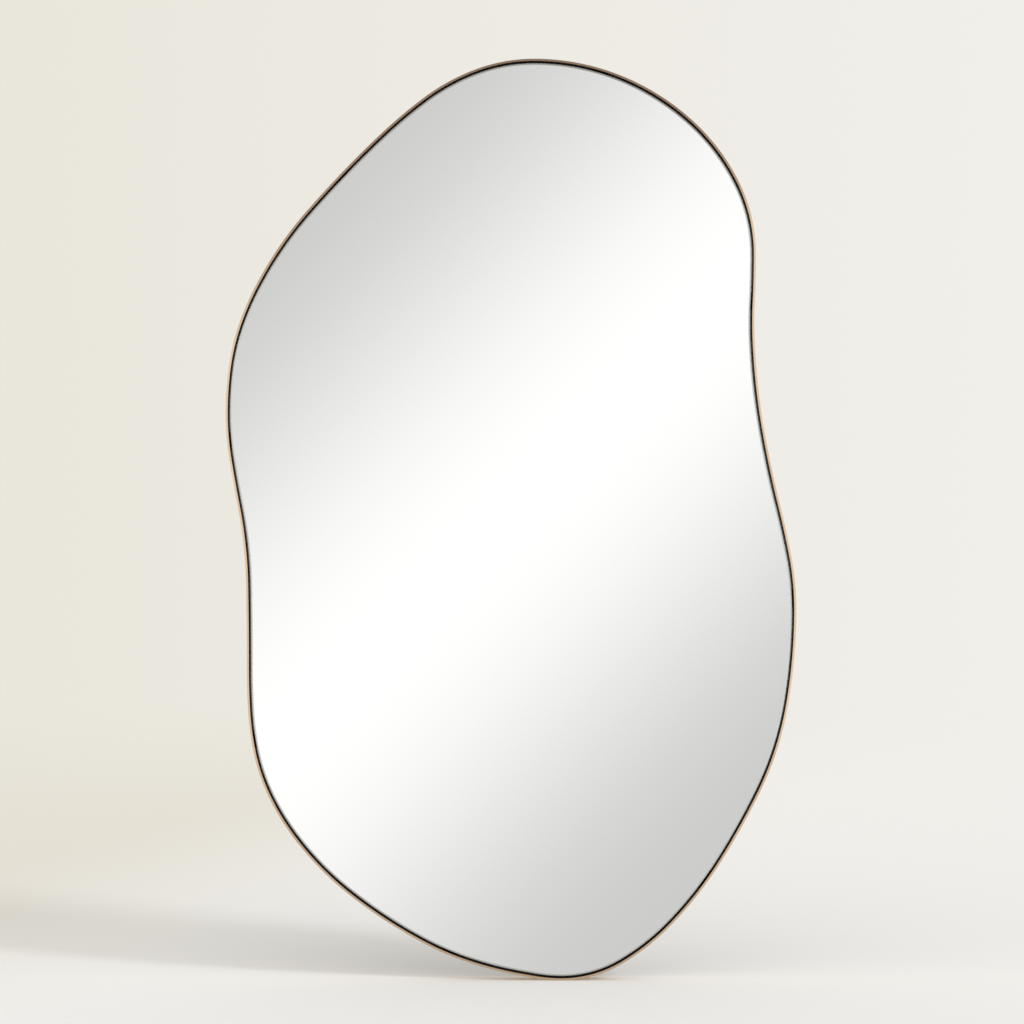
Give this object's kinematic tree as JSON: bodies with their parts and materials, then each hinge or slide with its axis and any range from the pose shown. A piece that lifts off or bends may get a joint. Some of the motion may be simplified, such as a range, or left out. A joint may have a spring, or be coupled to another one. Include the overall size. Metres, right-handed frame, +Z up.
{
  "type": "irregular wall mirror",
  "caption": "Freeform wall mirror: bevelled glass set in a thin brushed-metal band frame over a painted board, with hinged D-ring hangers and wall bumpers.",
  "frame": {"origin": "on the wall plane, midway between the two points where the wall hooks bear in the D-rings", "axes": "+Z up, the mirror faces -Y with the wall at y = 0, +X to the right seen from the front"},
  "size_m": [0.566, 0.0234, 0.914],
  "materials": {
    "brushed_brass": "brushed, aged warm gold",
    "silvered_glass": "silvered float glass, polished bevel",
    "shatter_film": "matt film",
    "foam_tape": "closed-cell foam",
    "painted_board": "black painted fibreboard",
    "plated_tab_steel": "plated with the band, matt",
    "zinc_plated_steel": "bright zinc plated",
    "nickel_plated_steel": "nickel plated",
    "bumper_rubber": "matt moulded rubber"
  },
  "bodies": {
    "mirror": {"frame_band": "brushed_brass", "mirror_glass": "silvered_glass", "safety_film": "shatter_film", "backing_board": "painted_board", "tab_screws": "zinc_plated_steel", "mounting_tab_1": "plated_tab_steel", "mounting_tab_2": "plated_tab_steel", "mounting_tab_3": "plated_tab_steel", "mounting_tab_4": "plated_tab_steel", "mounting_tab_5": "plated_tab_steel", "mounting_tab_6": "plated_tab_steel", "mounting_tab_7": "plated_tab_steel", "mounting_tab_8": "plated_tab_steel", "tape_strip_1": "foam_tape", "tape_strip_2": "foam_tape", "tape_strip_3": "foam_tape", "tape_strip_4": "foam_tape", "tape_strip_5": "foam_tape", "tape_strip_6": "foam_tape", "bumper_1": "bumper_rubber", "bumper_2": "bumper_rubber", "bumper_3": "bumper_rubber", "bumper_4": "bumper_rubber", "hanger_strap_left": "nickel_plated_steel", "hanger_screws_left": "zinc_plated_steel", "hanger_strap_right": "nickel_plated_steel", "hanger_screws_right": "zinc_plated_steel"},
    "ring_left": {"hanger_ring_left": "nickel_plated_steel"},
    "ring_right": {"hanger_ring_right": "nickel_plated_steel"}
  },
  "joints": [
    {"name": "ring_left_swing", "type": "hinge", "parent": "mirror", "child": "ring_left", "pos_m": [-0.14, -0.00422, -0.0209], "axis": [-1, 0, 0], "range_deg": [0, 178.8]},
    {"name": "ring_right_swing", "type": "hinge", "parent": "mirror", "child": "ring_right", "pos_m": [0.14, -0.00422, -0.0209], "axis": [-1, 0, 0], "range_deg": [0, 178.8]}
  ]
}
